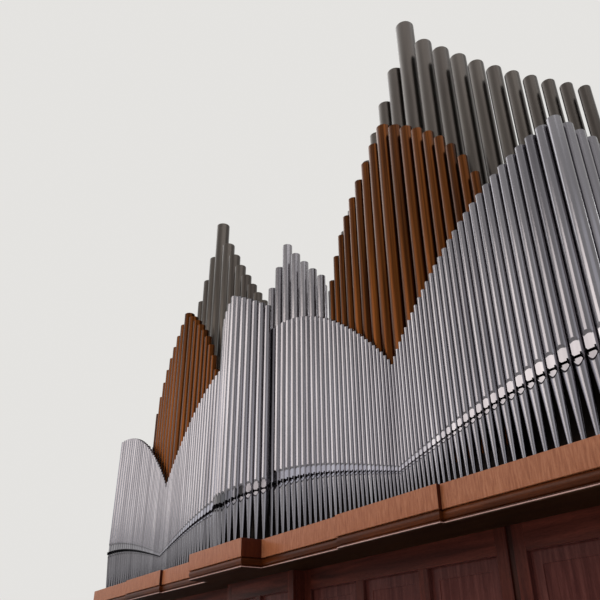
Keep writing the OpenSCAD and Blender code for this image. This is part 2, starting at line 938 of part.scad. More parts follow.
placed() plinth();
placed() front_frame_middle();
placed() front_frame_left();
placed() front_frame_right();
placed() front_frame_left_end();
placed() front_frame_right_end();
placed() front_strips();
placed() front_panels();
placed() side_frame_left();
placed() side_frame_right();
placed() side_panels();
placed() back_frame();
placed() back_panels();
placed() soffit();
placed() joists_row();
placed() rim_boards();
placed() deck();
placed() bead_moulding();
placed() fascia_boards();
placed() fascia_tower();
placed() toe_boards();
placed() tower_toe_board();
placed() copper_chests();
placed() tall_chests();
placed() centre_chest();
placed() foot_screen();
placed() rail_left();
placed() rail_right();
placed() rail_tower();
placed() side_rails();
placed() copper_rails();
placed() tall_rails();
placed() centre_rail();
placed() inner_flat_left();
placed() inner_flat_right();
placed() outer_flat_left();
placed() outer_flat_right();
placed() tower_pipes();
placed() side_pipes_left();
placed() side_pipes_right();
placed() copper_pipes_left();
placed() copper_pipes_right();
placed() tall_pipes_left();
placed() tall_pipes_right();
placed() centre_pipes();
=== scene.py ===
"""A pipe organ with an open front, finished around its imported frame: a panelled mahogany base, a moulded
platform, and rows of tin, copper and zinc pipes. Metres, Z up, front towards -Y."""
from math import cos, radians, sin

import bpy
import numpy as np
from mathutils import Matrix, Vector


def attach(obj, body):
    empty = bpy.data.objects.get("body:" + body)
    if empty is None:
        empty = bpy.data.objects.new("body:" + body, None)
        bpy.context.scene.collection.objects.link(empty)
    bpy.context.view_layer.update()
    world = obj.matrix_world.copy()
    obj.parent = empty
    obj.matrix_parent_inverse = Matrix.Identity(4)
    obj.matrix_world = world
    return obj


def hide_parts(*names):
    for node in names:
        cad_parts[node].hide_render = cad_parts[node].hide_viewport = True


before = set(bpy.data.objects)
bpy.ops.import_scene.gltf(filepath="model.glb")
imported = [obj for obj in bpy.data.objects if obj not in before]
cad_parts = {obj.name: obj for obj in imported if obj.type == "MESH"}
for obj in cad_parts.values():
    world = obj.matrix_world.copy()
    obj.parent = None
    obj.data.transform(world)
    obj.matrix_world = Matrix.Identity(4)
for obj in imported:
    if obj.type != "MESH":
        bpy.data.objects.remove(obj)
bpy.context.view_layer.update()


# The base walls: upright stiles and level rails of solid mahogany, tenoned together, with a small round
# worked on each opening's edge. French-polished: a deep red brown whose open grain runs along each board
# in bands some 67 mm apart.


def linear(code):
    """The linear colour of an sRGB hex code, by the sRGB curve."""
    levels = np.array([int(code[i : i + 2], 16) for i in (0, 2, 4)]) / 255
    curve = np.where(levels <= 0.04045, levels / 12.92, ((levels + 0.055) / 1.055) ** 2.4)
    return (*curve.tolist(), 1.0)


def add(owner, kind, inputs=(), **settings):
    """Adds a node to a material or a world: settings by name, then each input as a value or as a link
    from a socket."""
    tree = owner.node_tree
    node = tree.nodes.new(kind)
    for name, value in settings.items():
        setattr(node, name, value)
    for name, value in dict(inputs).items():
        if isinstance(value, bpy.types.NodeSocket):
            tree.links.new(value, node.inputs[name])
        else:
            node.inputs[name].default_value = value
    return node


def blank(name, **constants):
    """A new material with one Principled shader, whose constant sockets are set by name."""
    material = bpy.data.materials.new(name)
    material.use_nodes = True
    shader = material.node_tree.nodes["Principled BSDF"]
    for socket, value in constants.items():
        shader.inputs[socket.replace("_", " ")].default_value = value
    return material, shader


def ramp(material, factor, stops):
    """A colour ramp on a factor. stops holds pairs of a position and a hex code."""
    node = add(material, "ShaderNodeValToRGB", {"Fac": factor})
    elements = node.color_ramp.elements
    while len(elements) < len(stops):
        elements.new(0.5)
    for element, (place, code) in zip(elements, stops):
        element.position = place
        element.color = linear(code)
    return node.outputs["Color"]


def wood(name, dark, middle, light, roughness, bands=(11.0, 11.0, 0.9), pores=25.0, coat=0.0,
         on_object=False, half_board=0.0):
    """Planed or polished wood: bands of growth over pores, both stretched along the grain. bands counts
    them to the metre across, into and along the grain, so 10 is one every 100 mm. pores counts pores to
    a band: 25 of them in 100 mm are 4 mm apart, coarser than real ones, so that they show. The grain
    attribute holds metres across, into and along each board, and on_object reads the object's own X, Y
    and Z instead. half_board is half the width, in Y, of nailed boards whose dark joints are drawn. Old
    polish mirrors little, so the specular level is far below that of new varnish."""
    joint_half = 0.002
    material, shader = blank(name, Specular_IOR_Level=0.07, Coat_Weight=coat, Coat_Roughness=0.2)
    links = material.node_tree.links
    if on_object:
        place = add(material, "ShaderNodeTexCoord").outputs["Object"]
    else:
        place = add(material, "ShaderNodeAttribute", attribute_name="grain").outputs["Vector"]
    along = add(material, "ShaderNodeMapping", {"Vector": place, "Scale": bands}).outputs["Vector"]
    figure = add(material, "ShaderNodeTexNoise", {"Vector": along, "Scale": 1.0, "Detail": 5.0,
                                                  "Roughness": 0.55, "Distortion": 0.6})
    pitted = add(material, "ShaderNodeTexNoise", {"Vector": along, "Scale": pores, "Detail": 2.0,
                                                  "Roughness": 0.6})
    colour = ramp(material, figure.outputs["Fac"], [(0.30, dark), (0.50, middle), (0.68, light)])
    tone = ramp(material, pitted.outputs["Fac"], [(0.34, "969696"), (0.52, "ffffff")])
    mixed = add(material, "ShaderNodeMix", {"Factor": 0.5, "A": colour, "B": tone}, data_type="RGBA",
                blend_type="MULTIPLY")
    colour = mixed.outputs["Result"]
    if half_board:
        apart = add(material, "ShaderNodeSeparateXYZ", {"Vector": place})
        turn = add(material, "ShaderNodeMath", {0: apart.outputs["Y"], 1: half_board},
                   operation="PINGPONG")
        joint = add(material, "ShaderNodeMapRange", {"Value": turn.outputs["Value"], "From Max": joint_half})
        lined = add(material, "ShaderNodeMix", {"Factor": joint.outputs["Result"], "A": linear("17100b"),
                                                "B": colour}, data_type="RGBA")
        colour = lined.outputs["Result"]
    links.new(colour, shader.inputs["Base Color"])
    spread = add(material, "ShaderNodeMapRange",
                 {"Value": pitted.outputs["Fac"], "To Min": roughness + 0.12, "To Max": roughness - 0.06})
    links.new(spread.outputs["Result"], shader.inputs["Roughness"])
    bump = add(material, "ShaderNodeBump", {"Height": pitted.outputs["Fac"], "Strength": 0.12,
                                            "Distance": 0.0008})
    links.new(bump.outputs["Normal"], shader.inputs["Normal"])
    return material


def piece(name, chunks, material, replaced=(), wall=0.0, sharp=35.0):
    """One object from chunks of points, faces and grain coordinates. Its smooth shading breaks at edges
    sharper than an angle and at open edges. wall gives a sheet its thickness, inward."""
    starts = np.cumsum([0] + [len(chunk[0]) for chunk in chunks[:-1]])
    faces = [face for chunk, start in zip(chunks, starts) for group in chunk[1]
             for face in (group + start).tolist()]
    mesh = bpy.data.meshes.new(name)
    mesh.from_pydata(np.concatenate([chunk[0] for chunk in chunks]).tolist(), [], faces)
    grain = mesh.attributes.new("grain", "FLOAT_VECTOR", "POINT")
    grain.data.foreach_set("vector", np.concatenate([chunk[2] for chunk in chunks]).astype("f").ravel())
    mesh.shade_smooth()
    mesh.set_sharp_from_angle(angle=radians(sharp))
    edge_of = np.empty(len(mesh.loops), dtype=np.int32)
    mesh.loops.foreach_get("edge_index", edge_of)
    open_edge = np.bincount(edge_of, minlength=len(mesh.edges)) == 1
    was_sharp = np.empty(len(mesh.edges), dtype=bool)
    mesh.edges.foreach_get("use_edge_sharp", was_sharp)
    mesh.edges.foreach_set("use_edge_sharp", was_sharp | open_edge)
    mesh.materials.append(material)
    made = bpy.data.objects.new(name, mesh)
    bpy.context.scene.collection.objects.link(made)
    if wall:
        sheet = made.modifiers.new("wall", "SOLIDIFY")
        sheet.thickness = wall
        sheet.offset = -1.0
    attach(made, "root")
    if replaced:
        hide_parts(*replaced)


# Chance moves each board's pattern by up to pattern_shift metres and gives each pipe its own tone
chance = np.random.default_rng(11)
pattern_shift = 9.0
corner_signs = np.array([[x, y, z] for x in (-1, 1) for y in (-1, 1) for z in (-1, 1)])


def box_faces():
    """Faces of a box whose corners are cut: corner c has a point 3c + a on its face across axis a. Six
    sides, twelve edge strips and eight corner triangles. Each is turned so that it looks away from the
    middle, which is tried on a cube of half side 1 with a tenth cut off."""
    cut = 0.1
    points = np.repeat(corner_signs, 3, 0) * (1 - cut + cut * np.tile(np.eye(3), (8, 1)))
    groups = {3: [np.arange(3) + 3 * c for c in range(8)], 4: []}
    for axis in range(3):
        one, two = (axis + 1) % 3, (axis + 2) % 3
        for side in (-1, 1):
            loop = [int(np.flatnonzero((corner_signs[:, axis] == side) & (corner_signs[:, one] == u)
                                       & (corner_signs[:, two] == v))[0]) * 3 + axis
                    for u, v in ((-1, -1), (1, -1), (1, 1), (-1, 1))]
            groups[4].append(np.array(loop))
        for u in (-1, 1):
            for v in (-1, 1):
                low, high = np.flatnonzero((corner_signs[:, one] == u) & (corner_signs[:, two] == v)) * 3
                groups[4].append(np.array([low + one, high + one, high + two, low + two]))
    turned = []
    for size in (3, 4):
        loops = np.array(groups[size])
        a, b, c = (points[loops[:, k]] for k in range(3))
        inward = (np.cross(b - a, c - b) * points[loops].mean(1)).sum(1) < 0
        turned.append(np.where(inward[:, None], loops[:, ::-1], loops))
    return turned


box_loops = box_faces()


def boards(spans, chamfer=0.0015):
    """Boards as boxes with small chamfers. A span holds x0, x1, y0, y1, z0, z1 and the axis of its grain,
    0 to 2. A point lies at middle + sign * (half - chamfer), with no chamfer across its own face. The
    grain coordinates are measured from each board's middle, with a chance shift so that no two match."""
    spans = np.asarray(spans, float)
    low, high, axis = spans[:, 0:6:2], spans[:, 1:6:2], spans[:, 6].astype(int)
    middle, half = (low + high) / 2, (high - low) / 2
    signs = np.repeat(corner_signs, 3, 0)[None]
    back = chamfer * (1 - np.tile(np.eye(3), (8, 1)))[None]
    points = middle[:, None] + signs * (half[:, None] - back)
    order = (axis[:, None] + np.array([1, 2, 0])) % 3
    local = np.take_along_axis(points - middle[:, None], np.repeat(order[:, None], 24, 1), 2)
    local = local + chance.uniform(-pattern_shift, pattern_shift, (len(spans), 1, 3))
    faces = [(loops[None] + 24 * np.arange(len(spans))[:, None, None]).reshape(-1, loops.shape[1])
             for loops in box_loops]
    return points.reshape(-1, 3), faces, local.reshape(-1, 3)


# Each wall is laid out from one end: a map gives its start, the way along it, the way into it, its width
# and its number of columns. The part's y = 0 lies origin_y behind the platform's front edge.
origin_y = 0.4565
base_front, base_back, base_half, base_height = 0.4 - origin_y, 1.1 - origin_y, 3.99, 2.44
stile, thick = 0.095, 0.035
bottom_rail, lock_low, lock_high, top_rail = 0.29, 0.905, 1.015, 2.265
middle_half, middle_out = 0.64, 0.12
strip_x, strip_half, strip_back = 3.026, 0.025, 0.012
end_start = strip_x + strip_half
wide, end_wide = strip_x - strip_half - middle_half, base_half - end_start
side_wide = base_back - base_front - 2 * thick
right, left, inward, outward = (1, 0), (-1, 0), (0, 1), (0, -1)
walls = {
    "front_frame_middle": ((-middle_half, base_front - middle_out), right, inward, 2 * middle_half, 2),
    "front_frame_right": ((middle_half, base_front), right, inward, wide, 3),
    "front_frame_left": ((-middle_half, base_front), left, inward, wide, 3),
    "front_frame_right_end": ((end_start, base_front), right, inward, end_wide, 1),
    "front_frame_left_end": ((-end_start, base_front), left, inward, end_wide, 1),
    "side_frame_right": ((base_half, base_front + thick), inward, left, side_wide, 1),
    "side_frame_left": ((-base_half, base_front + thick), inward, right, side_wide, 1),
    "back_frame": ((base_half, base_back), left, outward, 2 * base_half, 10),
}
openings_z = ((bottom_rail, lock_low), (lock_high, top_rail))


def openings(width, columns):
    """Start and end along the wall of each column's opening, with equal openings between the stiles."""
    opening = (width - (columns + 1) * stile) / columns
    return [(stile + k * (opening + stile), stile + k * (opening + stile) + opening) for k in range(columns)]


def span_on(wall, u0, u1, z0, z1, grain, into=(0.0, thick)):
    """A board's span from its place along a wall, its heights and its depths into the wall."""
    start, way, depth_way = (np.array(v, float) for v in wall[:3])
    ends = np.array([start + u * way + d * depth_way for u in (u0, u1) for d in into])
    axis = 2 if grain == "upright" else (0 if abs(way[0]) > 0 else 1)
    return [*np.sort(ends[[0, 3], 0]), *np.sort(ends[[0, 3], 1]), z0, z1, axis]


def frame_spans(wall):
    """The boards of one frame: outer stiles of full height, three rails between them, and short middle
    stiles."""
    width, columns = wall[3:]
    gaps = openings(width, columns)
    spans = [span_on(wall, 0, stile, 0, base_height, "upright"),
             span_on(wall, width - stile, width, 0, base_height, "upright")]
    for z0, z1 in ((0, bottom_rail), (lock_low, lock_high), (top_rail, base_height)):
        spans.append(span_on(wall, stile, width - stile, z0, z1, "level"))
    for (_, u0), (u1, _) in zip(gaps[:-1], gaps[1:]):
        spans += [span_on(wall, u0, u1, z0, z1, "upright") for z0, z1 in openings_z]
    return spans


mahogany = wood("mahogany_stiles", "34140f", "4b2119", "5e2c22", 0.34, bands=(15.0, 15.0, 1.0))
for name, wall in walls.items():
    spans = frame_spans(wall)
    if name == "front_frame_middle":
        back = base_front + thick
        spans += [[x, x + thick, back - middle_out, back, 0, base_height, 2]
                  for x in (-middle_half, middle_half - thick)]
    piece("stiles_" + name, [boards(spans)], mahogany, [name])

# Strips that stand back fill the gaps between the frames. They are coloured darker, nearly black, as painted
# shade in the recess.
strips = [[x - strip_half, x + strip_half, base_front + strip_back, base_front + thick, 0, base_height, 2]
          for x in (-strip_x, strip_x)]
dark_mahogany = wood("mahogany_dark", "1c0b08", "2b130e", "381b14", 0.4)
piece("recessed_strips", [boards(strips)], dark_mahogany, ["front_strips"])

# The panels: boards set deep behind the frame's face, with a broad margin worked to a slight bevel and a flat
# field sunk behind it. A little more purple than the frame, a painted reflection of cool light on the
# mahogany, with bands of growth 38 mm apart.
# The profile holds places from the opening's edge inwards and depths behind the frame's face.
panel_profile = np.array([
    (0.0, 0.4), (0.3, 1.2), (1.0, 1.9), (1.8, 2.2), (2.0, 2.4), (2.0, 31.6), (2.4, 32.0), (83.4, 29.0),
    (84.4, 29.2), (85.0, 29.8), (85.4, 34.0), (86.2, 34.6), (87.4, 34.8),
]) / 1000


def sunk_panel(wall, u0, u1, z0, z1):
    """A panel and the frame's edge round it: the profile carried round the opening as rectangles, each
    moved in by its place and back by its depth, and a flat field inside the last one."""
    inset, deep = panel_profile.T
    u = np.stack([u0 + inset, u1 - inset, u1 - inset, u0 + inset], 1).ravel()
    z = np.stack([z0 + inset, z0 + inset, z1 - inset, z1 - inset], 1).ravel()
    d = np.repeat(deep, 4)
    start, way, depth_way = (np.array(v, float) for v in wall[:3])
    plan = start + u[:, None] * way + d[:, None] * depth_way
    points = np.column_stack([plan, z])
    rows = 4 * np.arange(len(inset) - 1)[:, None]
    side, after = np.arange(4), (np.arange(4) + 1) % 4
    quads = np.stack([rows + side, rows + after, rows + 4 + after, rows + 4 + side], 2).reshape(-1, 4)
    quads = np.concatenate([quads, [4 * (len(inset) - 1) + side]])
    if np.cross(way, depth_way) < 0:
        quads = quads[:, ::-1]
    return points, [quads], np.column_stack([u, d, z]) + chance.uniform(-pattern_shift, pattern_shift, 3)


# The panels' purple tint is a painted reflection of cool light.
panel_wood = wood("mahogany_panels", "3f1b19", "4f2824", "5f3530", 0.3, bands=(26.0, 26.0, 1.6))
panel_nodes = {"front": "front_panels", "side": "side_panels", "back": "back_panels"}
for key, node in panel_nodes.items():
    chunks = [sunk_panel(wall, u0, u1, z0, z1) for name, wall in walls.items() if name.startswith(key)
              for u0, u1 in openings(*wall[3:]) for z0, z1 in openings_z]
    piece("fielded_" + node, chunks, panel_wood, [node], sharp=28.0)


# The plinth: one board round the foot of the walls, mitred at the corners, with a worked top edge.
# Sawn from the same mahogany and given the strips' near-black colour.
def sweep(line, profile, closed=False, upright=False, only=None):
    """A board or a moulding along a line in plan, with its outside on the right of the way. Each straight
    run is a prism mitred at its ends: a profile point w outward lies at p + w (n1 + n2) / (1 + n1 n2),
    with n1 and n2 the outward sides of the runs that meet at p. The profile runs anticlockwise."""
    line, profile = np.asarray(line, float), np.asarray(profile, float)
    ahead = np.roll(line, -1, 0) - line
    ahead /= np.linalg.norm(ahead, axis=1, keepdims=True)
    side = np.stack([ahead[:, 1], -ahead[:, 0]], 1)
    before = np.roll(side, 1, 0)
    if not closed:
        side[-1], before[0] = side[-2], side[0]
    mitre = (side + before) / (1 + (side * before).sum(1, keepdims=True))
    size = len(profile)
    a = np.arange(size)
    b = np.roll(a, -1)
    sides = np.stack([a, a + size, b + size, b], 1)
    girth = np.cumsum(np.r_[0, np.linalg.norm(np.diff(profile, axis=0), axis=1)])
    chunks = []
    for i in range(len(line) if closed else len(line) - 1):
        if only is not None and i not in only:
            continue
        ends = [line[k] + profile[:, :1] * mitre[k] for k in (i, (i + 1) % len(line))]
        points = np.concatenate([np.column_stack([end, profile[:, 1]]) for end in ends])
        travel = (points[:, :2] - line[i]) @ ahead[i]
        if upright:
            grain = [travel, np.tile(profile[:, 0], 2), points[:, 2]]
        else:
            grain = [np.tile(girth, 2), np.zeros(2 * size), travel]
        grain = np.column_stack(grain) + chance.uniform(-pattern_shift, pattern_shift, 3)
        chunks.append((points, [sides, np.stack([a, a[::-1] + size])], grain))
    return chunks


base_line = [(-base_half, base_back), (-base_half, base_front), (-middle_half, base_front),
             (-middle_half, base_front - middle_out), (middle_half, base_front - middle_out),
             (middle_half, base_front), (base_half, base_front), (base_half, base_back)]
plinth_profile = np.array([(0, 0), (18, 0), (18, 112), (17.2, 114), (15, 115.5), (13, 118), (10, 123),
                           (5.5, 126.5), (2, 128), (1.2, 129.6), (0, 130)]) / 1000
piece("plinth_board", sweep(base_line, plinth_profile, closed=True), dark_mahogany, ["plinth"],
      sharp=50.0)

# The platform's edge: a fascia board with upright veneer, over a wide bead of beech with a dark stain and a
# thin fillet coloured pale, a painted highlight along its edge. The veneer is a pale orange brown with
# strokes 14 mm apart and some 110 mm long, lacquered. The board's short ends are coloured dark, partly as end
# grain and partly as painted shade on the returns.
# The board stands forward by step at each low point of the wave, and by tower_out round the tower.
valley, block_half, step = 2.31, 0.566, 0.031
near, far = valley - block_half, valley + block_half
tower_half, tower_out = 0.554, 0.205
platform_half, platform_deep = 4.27, 1.1
half_line = [(tower_half, -tower_out), (tower_half, 0.0), (near, 0.0), (near, -step), (far, -step),
             (far, 0.0), (platform_half, 0.0), (platform_half, platform_deep)]
platform_line = np.array([(-x, y) for x, y in half_line[::-1]] + half_line) - (0, origin_y)
# Between the first two and the last two runs of the line every other one is short and faces sideways
short_ends = (2, 4, 6, 8, 10, 12)
veneered = [run for run in range(len(platform_line) - 1) if run not in short_ends]
bead_high = 0.078
fascia_profile = np.array([(-32, 0), (-1.5, 0), (0, 1.5), (0, 152), (-0.6, 155), (-2.4, 157.2), (-5, 158),
                           (-30, 158), (-32, 156)]) / 1000 + (0, base_height + bead_high)
veneer = wood("sapele_veneer", "8a4f31", "9b5f40", "a96d4d", 0.36, bands=(70.0, 70.0, 9.0), pores=100 / 3,
              coat=0.1)
piece("fascia_veneered", sweep(platform_line, fascia_profile, upright=True, only=veneered), veneer,
      ["fascia_boards", "fascia_tower"])
# The short ends' dark colour is partly end grain and partly painted shade on the returns.
end_grain_shade_mahogany = wood("mahogany_end_grain_shade", "2a0e06", "40180c", "542412", 0.32, coat=0.1)
piece("fascia_ends", sweep(platform_line, fascia_profile, upright=True, only=short_ends), end_grain_shade_mahogany)

# The bead is nearly half of an ellipse, 20 mm deep and 64 mm high, over a small square edge
turns = np.radians(np.arange(-78, 79, 12))
bead_profile = np.concatenate([
    [(0, 0), (13, 0), (13, 10), (8, 13.6)],
    np.column_stack([7 + 20 * np.cos(turns), 46 + 32 * np.sin(turns)]),
    [(7, 78), (0, 78)],
]) / 1000 + (-0.032, base_height)
beech = wood("stained_beech", "351707", "4c230d", "623013", 0.34, coat=0.04)
piece("bead_round", sweep(platform_line, bead_profile), beech, ["bead_moulding"], sharp=40.0)
fillet_profile = np.array([(-14, -6.4), (-7.6, -6.4), (-7, -5.8), (-7, -0.4), (-7.6, 0.2), (-14, 0.2)]) / 1000
# The fillet's pale colour is a painted highlight along its edge.
pale_highlight_beech = wood("pale_highlight_beech", "a58078", "b8948c", "c8a69e", 0.3, coat=0.15)
piece("light_fillet", sweep(platform_line, fillet_profile + (0, base_height)), pale_highlight_beech)


# The platform's boards: a deck of pale planed pine on rough sawn joists, and oak coloured a very dark brown
# under the overhang and at the rim, painted shade for the overhang. Deck and soffit are nailed down board by
# board, and their joints show as dark lines. Bands of growth are 71 mm apart.
def finish(nodes, material):
    """Gives CAD nodes one material."""
    for name in nodes:
        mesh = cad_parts[name].data
        mesh.materials.clear()
        mesh.materials.append(material)


level = (0.9, 14.0, 14.0)
pine = wood("planed_pine", "7a5638", "94704b", "a8835a", 0.55, bands=level, on_object=True,
            half_board=0.14)
finish(["deck"], pine)
sawn = wood("sawn_pine", "6f4f33", "866244", "9a754f", 0.6, bands=(14.0, 0.9, 14.0), on_object=True)
finish(["joists_row"], sawn)
# Painted shade: the soffit and rim are coloured near black for the overhang's shade.
soffit_shade_oak = wood("soffit_boards", "1a0c04", "261509", "301c0c", 0.45, bands=level, on_object=True,
           half_board=0.13)
finish(["soffit", "rim_boards"], soffit_shade_oak)

# Chests, toe boards, the board behind the feet and the rails: plain wood, coloured nearly black as painted
# shade, so that nothing shows between the pipes.
chest_shade_wood = wood("pine_painted_shade", "120c09", "1b1410", "251b15", 0.5, bands=level, on_object=True)
finish([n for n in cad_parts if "chest" in n or "toe_board" in n or n == "foot_screen"], chest_shade_wood)
finish([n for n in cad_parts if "rail" in n], chest_shade_wood)


# The front pipes: sheet metal rolled on a mandrel and soldered down the back. The mouth is cut at the
# front, the sheet above and below it pressed flat, and a cut near the top of the back tunes the pipe.
# They are tin, planed and polished to a cool bright grey, and the ears are lead, coloured near black as
# painted shade for their hollows beside the mouth.
def metal(name, dark, light, lip, roughness, streak=0.03, cloud=(9.0, 9.0, 0.7)):
    """Planed sheet metal. Its colour drifts from pipe to pipe and in long soft clouds down each pipe. Its
    roughness varies in streaks along the pipe, where it was planed, some 4 mm apart, coarser than a plane's
    marks, so that they show. cloud and streaks count them to the metre along X, Y and Z. Most upper lips
    reach the lip colour, a painted highlight, and the crease under the lower ones is darkened towards the
    near-black first stop, a painted shade."""
    streaks = (260.0, 260.0, 1.5)
    material, shader = blank(name, Metallic=1.0)
    links = material.node_tree.links
    place = add(material, "ShaderNodeTexCoord").outputs["Object"]
    drawn = add(material, "ShaderNodeMapping", {"Vector": place, "Scale": cloud}).outputs["Vector"]
    clouds = add(material, "ShaderNodeTexNoise", {"Vector": drawn, "Scale": 1.0, "Detail": 3.0})
    own = add(material, "ShaderNodeAttribute", attribute_name="grain")
    tone = add(material, "ShaderNodeSeparateXYZ", {"Vector": own.outputs["Vector"]}).outputs["X"]
    both = add(material, "ShaderNodeMath", {0: clouds.outputs["Fac"], 1: tone}, operation="ADD")
    # The near-black first stop is painted shade, reached in the crease and on the tower's darkened lips; the
    # last one, lip, is the upper lips' painted highlight.
    stops = [(0.0, "141416"), (0.12, dark), (0.22, dark), (0.72, light), (0.98, lip)]
    links.new(ramp(material, both.outputs["Value"], stops), shader.inputs["Base Color"])
    along = add(material, "ShaderNodeMapping", {"Vector": place, "Scale": streaks})
    lines = add(material, "ShaderNodeTexNoise", {"Vector": along.outputs["Vector"], "Scale": 1.0,
                                                 "Detail": 2.0})
    spread = add(material, "ShaderNodeMapRange", {"Value": lines.outputs["Fac"],
                                                  "To Min": roughness - streak, "To Max": roughness + streak})
    links.new(spread.outputs["Result"], shader.inputs["Roughness"])
    return material


# Rows of a pipe's mouth from the foot upwards, in diameters: the height at the middle of the lips, how
# much higher their sides lie, and how far the sheet is pressed back to the flat, from 0 to 1. The mouth
# is the gap above mouth_row in the lips' columns, and the tuning cut the gap above slot_row at the back.
# lip_turn is half the angle that the flat lips span round the body.
lip_turn = radians(46)
lip_rows = np.array([
    (-0.66, 0.34, 0), (-0.62, 0.34, 0), (-0.52, 0.34, 0), (-0.46, 0.34, 1), (-0.20, 0.13, 1), (0.0, 0.0, 1),
    (0.20, 0.0, 1), (0.80, 0.0, 1), (1.20, -0.16, 1), (1.31, -0.16, 0.45), (1.42, -0.16, 0), (1.67, 0.0, 0),
])
lip_columns, back_columns = 9, 19
mouth_row, slot_row, slot_columns = 6, 13, (17, 18)
across = np.linspace(-1, 1, lip_columns)
behind = np.arange(1, back_columns + 1) / (back_columns + 1)


def lip_points(first, last):
    """The numbers of the points of the lips' columns in rows first to last of a pipe."""
    starts = (lip_columns + back_columns) * np.arange(first, last + 1)
    return (starts[:, None] + np.arange(lip_columns)).ravel()


crease, lower_lip, upper_lip = lip_points(2, 3), lip_points(4, 6), lip_points(7, 9)


def flue_pipe(d, foot, body, slot=True):
    """One flue pipe with its mouth's lower edge at height 0: rows of points, 9 across the lips and 19
    round the back. In each row the lips take the angles -t to t and the back takes the rest of the circle
    of radius q, the cone's or the body's at that height: x = q sin(a), y = -q cos(a). The lips are pressed
    back to a flat at y = -c, and t = arccos(c / q) ends them where the flat meets the circle. A plate just
    under the mouth closes the foot, and slot leaves the tuning cut open. Returns points and faces."""
    r, tip = d / 2, 0.125 * d
    flat = r * cos(lip_turn)
    slot_low, slot_high, lip_sag = body - 2.4 * d, body - 1.1 * d, 0.04 * d
    plate_share, plate_drop = 0.97, 0.0004
    z, bow, pressed = np.concatenate([np.zeros((1, 3)), lip_rows, np.zeros((3, 3))]).T
    z = np.r_[-foot, z[1:-3] * d, slot_low, slot_high, body]
    heights = z[:, None] + d * bow[:, None] * np.r_[across ** 2, np.ones(back_columns)]
    q = r + (r - tip) * np.minimum(heights, 0) / foot
    t = np.arccos(flat / q[1:, :1])
    t = np.concatenate([t[:1], t])
    a = np.concatenate([t * across, t + (2 * np.pi - 2 * t) * behind], 1)
    x, y = q * np.sin(a), -q * np.cos(a)
    front = y[:, :lip_columns]
    front += pressed[:, None] * (np.maximum(front, -flat) - front)
    points = np.stack([x, y, heights], 2)
    rows, columns = a.shape
    row, column = np.meshgrid(np.arange(rows - 1), np.arange(columns), indexing="ij")
    kept = ~((row == mouth_row) & (column < lip_columns - 1))
    if slot:
        kept &= ~((row == slot_row) & np.isin(column, slot_columns))
    row, column = row[kept], column[kept]
    after = (column + 1) % columns
    quads = np.stack([row * columns + column, row * columns + after, (row + 1) * columns + after,
                      (row + 1) * columns + column], 1)
    plate = points[mouth_row] * (plate_share, plate_share, 1) - (0, 0, plate_drop)
    points[mouth_row, :lip_columns, 2] -= lip_sag * across ** 2
    points = np.concatenate([points.reshape(-1, 3), plate])
    return points, [quads, rows * columns + np.arange(columns)[None]]


def ears(d):
    """The two plates beside the mouth, as four-sided sheets that stand out from the flat, with their edge
    soldered a little behind it. Their shape holds y and z."""
    flat, wide = d / 2 * cos(lip_turn), d / 2 * sin(lip_turn)
    inner, outer = -flat + 0.002, -flat - 0.18 * d
    shape = np.array([(inner, -0.16 * d), (outer, -0.08 * d), (outer, 0.26 * d), (inner, 0.34 * d)])
    points = np.concatenate([np.column_stack([np.full(4, s * wide), shape]) for s in (1, -1)])
    return points, [np.array([[3, 2, 1, 0], [4, 5, 6, 7]])]


def graded(first, last, steps):
    """Diameters that change by the same share at each step."""
    return first * (last / first) ** (np.arange(steps + 1) / steps)


def running(diameters, gap):
    """Places of axes side by side: running sums of half of each two neighbours and the gap, from 0."""
    return np.r_[0, np.cumsum((diameters[1:] + diameters[:-1]) / 2 + gap)]


def rank(name, pipes, foot_z, material, nodes, wall, tuned=True, lips=(-0.1, 0.12)):
    """A rank of pipes as one piece, and their ears as another. Each pipe has its x, y, turn, diameter,
    mouth and top. A turned pipe's point lies at x cos(w) - y sin(w), x sin(w) + y cos(w) from its axis.
    foot_z is the height of the feet's tips, and tuned pipes have a cut at the back. The tone that the metal
    reads differs from pipe to pipe by up to own. lips holds what the lower and the upper lip add to it; a
    raised upper lip is a painted highlight, and the tower's lowered lips are painted shade over their
    reflection. The crease under the lower lips is darkened to near black as painted shade."""
    own, crease_shade = 0.12, 0.7
    body_chunks, ear_chunks = [], []
    for x, y, turn, d, mouth, top in pipes:
        spin = np.array([(cos(turn), sin(turn), 0), (-sin(turn), cos(turn), 0), (0, 0, 1)])
        for chunks, (points, faces) in ((body_chunks, flue_pipe(d, mouth - foot_z, top - mouth, tuned)),
                                        (ear_chunks, ears(d))):
            tone = np.zeros((len(points), 3))
            tone[:, 0] = chance.uniform(-own, own)
            if chunks is body_chunks:
                # Painted light on each pipe: a highlight on the upper lips, shade in the crease and on the
                # tower's lips.
                tone[lower_lip, 0] += lips[0]
                tone[upper_lip, 0] += lips[1]
                tone[crease, 0] -= crease_shade
            chunks.append((points @ spin + (x, y - origin_y, mouth), faces, tone))
    piece(name, body_chunks, material, nodes, wall=wall, sharp=18.0)
    piece(name + "_ears", ear_chunks, ear_shade_metal, wall=wall)


tin = metal("planed_tin", "656368", "838186", "9c9a9c", 0.19, streak=0.012)
# The ears' near-black colour is painted shade.
ear_shade_metal = metal("lead_painted_shade", "151517", "222226", "222226", 0.45)
deck_top, toe_board = 2.6, 0.04
toe_top = deck_top + toe_board
# On each side the row runs from start, beside the tower, over the valley to the corner. Its mouths and
# its tops are lowest in the valley and rise to both ends.
start, corner = 0.488, 4.17
widest, narrowest = 0.096, 0.030
front_back, end_pitch, tin_sheet = 0.19, 0.126, 0.0014
mouth_low, mouth_rise, mouth_bend = 2.906, 0.268, 1.0
top_low, top_rise, top_bend = 3.76, 1.08, 0.88


